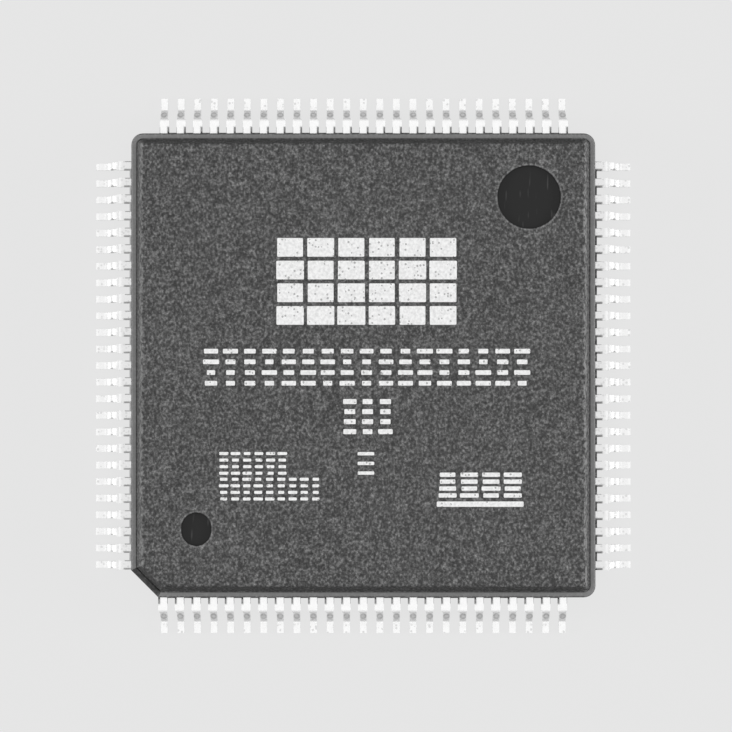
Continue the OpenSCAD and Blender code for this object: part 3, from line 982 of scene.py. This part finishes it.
def add_camera(stage):
    """A long lens almost straight above the chip."""
    camera = bpy.data.objects.new("Camera", bpy.data.cameras.new("Camera"))
    bpy.context.collection.objects.link(camera)
    camera.data.lens = stage.lens
    camera.data.sensor_width = 36.0
    camera.data.clip_start = 0.01
    target = Vector((0.082, -0.024, 0.9)) * MM
    back = Vector((0.0, -math.cos(stage.elevation), math.sin(stage.elevation)))
    aim(camera, target + back * stage.distance, target)
    bpy.context.scene.camera = camera


def add_lamps(stage):
    """A soft lamp above the chip and a low one on each side of it."""
    above = Vector((0.0, 0.0, stage.top_height))
    add_lamp("lamp_top", stage.top_power, (stage.top_size, stage.top_size), above)
    side_lamp = (stage.side_size, stage.side_size / 3)
    for name, side in (("lamp_left", -1), ("lamp_right", 1)):
        towards = Vector((side * math.cos(stage.side_height), 0.0, math.sin(stage.side_height)))
        add_lamp(name, stage.side_power, side_lamp, towards * stage.side_distance)


# ---------------------------------------------------------------------------
# Operators


class CHIP_OT_stage(Operator):
    """Make the camera, the lamps, the sky and the floor"""

    bl_idname = "chip.stage"
    bl_label = "Stage"

    def execute(self, context):
        stage = context.scene.chip_stage
        add_camera(stage)
        add_lamps(stage)
        add_sky(stage)
        add_floor(stage)
        context.scene.view_settings.view_transform = "Standard"
        return {"FINISHED"}


class CHIP_OT_body(Operator):
    """Finish the moulded body"""

    bl_idname = "chip.body"
    bl_label = "Moulded body"

    def execute(self, context):
        dress(["moulded_body"], mould_compound(context.scene.chip_mould))
        return {"FINISHED"}


class CHIP_OT_leads(Operator):
    """Finish the tinned leads"""

    bl_idname = "chip.leads"
    bl_label = "Leads"

    def execute(self, context):
        dress(nodes_named("lead_bank_"), tin_plating(context.scene.chip_leads))
        return {"FINISHED"}


class CHIP_OT_inside(Operator):
    """Finish the pieces that are sealed in the body"""

    bl_idname = "chip.inside"
    bl_label = "Inner pieces"

    def execute(self, context):
        inside = context.scene.chip_inside
        dress(["die_paddle"], plain_metal("Copper alloy", inside.copper, 0.1 * MM, 0.4))
        dress(["die_attach"], cast_resin("Silver epoxy", inside.epoxy, 0.05 * MM, 0.5))
        dress(["silicon_die"], polished_silicon(inside.silicon))
        dress(["lead_lock_tape"], cast_resin("Polyimide tape", inside.tape, 0.2 * MM, 0.25, coat=0.5))
        dress(nodes_named("wire_bank_"), plain_metal("Gold", inside.gold, 0.02 * MM, 0.22))
        return {"FINISHED"}


class CHIP_OT_marks(Operator):
    """Print the marks on the top face"""

    bl_idname = "chip.marks"
    bl_label = "Printed marks"

    def execute(self, context):
        print_marks(context.scene.chip_marking)
        return {"FINISHED"}


OPERATORS = (CHIP_OT_stage, CHIP_OT_body, CHIP_OT_leads, CHIP_OT_inside, CHIP_OT_marks)


class CHIP_PT_panel(Panel):
    """The chip's steps, in order"""

    bl_label = "Chip"
    bl_space_type = "VIEW_3D"
    bl_region_type = "UI"
    bl_category = "Chip"

    def draw(self, context):
        for operator in OPERATORS:
            self.layout.operator(operator.bl_idname)


SETTINGS = {
    "chip_mould": MouldFinish,
    "chip_leads": LeadFinish,
    "chip_inside": InsideFinish,
    "chip_marking": MarkingSettings,
    "chip_stage": StageSettings,
}


def register():
    """Registers the classes and hangs the settings on the scene."""
    for cls in (*SETTINGS.values(), *OPERATORS, CHIP_PT_panel):
        bpy.utils.register_class(cls)
    for name, cls in SETTINGS.items():
        setattr(bpy.types.Scene, name, PointerProperty(type=cls))


def unregister():
    """Takes the settings and the classes away again."""
    for name in SETTINGS:
        delattr(bpy.types.Scene, name)
    for cls in (CHIP_PT_panel, *OPERATORS, *SETTINGS.values()):
        bpy.utils.unregister_class(cls)


def main():
    """Dresses the chip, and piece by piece."""
    register()
    bpy.ops.chip.stage()
    bpy.ops.chip.body()
    bpy.ops.chip.leads()
    bpy.ops.chip.inside()
    bpy.ops.chip.marks()


if __name__ == "__main__":
    main()
